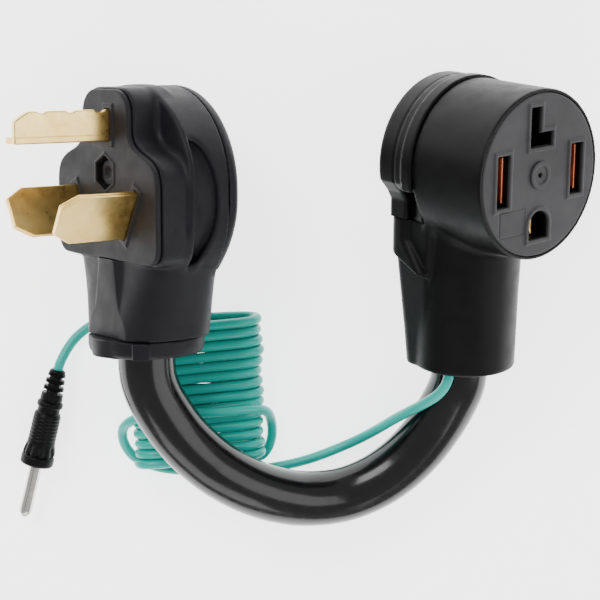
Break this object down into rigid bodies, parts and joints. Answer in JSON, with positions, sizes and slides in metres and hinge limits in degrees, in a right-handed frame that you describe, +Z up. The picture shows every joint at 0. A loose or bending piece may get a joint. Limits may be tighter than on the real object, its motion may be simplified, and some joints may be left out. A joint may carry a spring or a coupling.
{
  "type": "power adapter dogbone",
  "caption": "Short black cord between a moulded three-blade plug and a four-slot receptacle, with a separate coiled green earth lead that ends in a round pin.",
  "frame": {"origin": "on the table below the middle of the two moulded heads' box", "axes": "+X from the plug to the receptacle, +Y away from the cord's U, +Z up from the table that the adapter lies on"},
  "size_m": [0.179, 0.1441, 0.0686],
  "materials": {
    "moulded_black": "fine matte grain",
    "satin_black": "satin moulding",
    "face_grey": "matte",
    "carrier_black": "matte",
    "brass": "stamped, lightly worn",
    "copper": "dull copper",
    "nickel": "nickel plate, lightly worn",
    "cord_black": "glossy PVC",
    "pvc_red": "glossy PVC",
    "pvc_white": "glossy PVC",
    "lead_green": "glossy PVC"
  },
  "bodies": {
    "root": {"plug_body": "moulded_black", "plug_rear_cover": "moulded_black", "plug_collar": "moulded_black", "receptacle_housing": "satin_black", "receptacle_rear_cover": "satin_black", "receptacle_face": "face_grey", "receptacle_centre_rivet": "face_grey", "blade_carrier": "carrier_black", "contact_carrier": "carrier_black", "plug_cord_clamp": "carrier_black", "receptacle_cord_clamp": "carrier_black", "neutral_blade": "brass", "hot_blade_left": "brass", "hot_blade_right": "brass", "plug_centre_rivet": "brass", "plug_crimp_black": "brass", "plug_crimp_white": "brass", "plug_crimp_red": "brass", "neutral_contact": "brass", "ground_contact": "brass", "line_contact_left": "copper", "line_contact_right": "copper", "ground_pin": "nickel", "cord_jacket": "cord_black", "receptacle_neck_bushing": "cord_black", "pin_strain_relief": "cord_black", "pin_connector_body": "cord_black", "pin_connector_disc": "cord_black", "plug_wire_black": "cord_black", "receptacle_wire_black": "cord_black", "plug_wire_red": "pvc_red", "receptacle_wire_red": "pvc_red", "plug_wire_white": "pvc_white", "receptacle_wire_white": "pvc_white", "green_strand": "lead_green", "green_lead": "lead_green", "green_coil": "lead_green"}
  },
  "joints": []
}
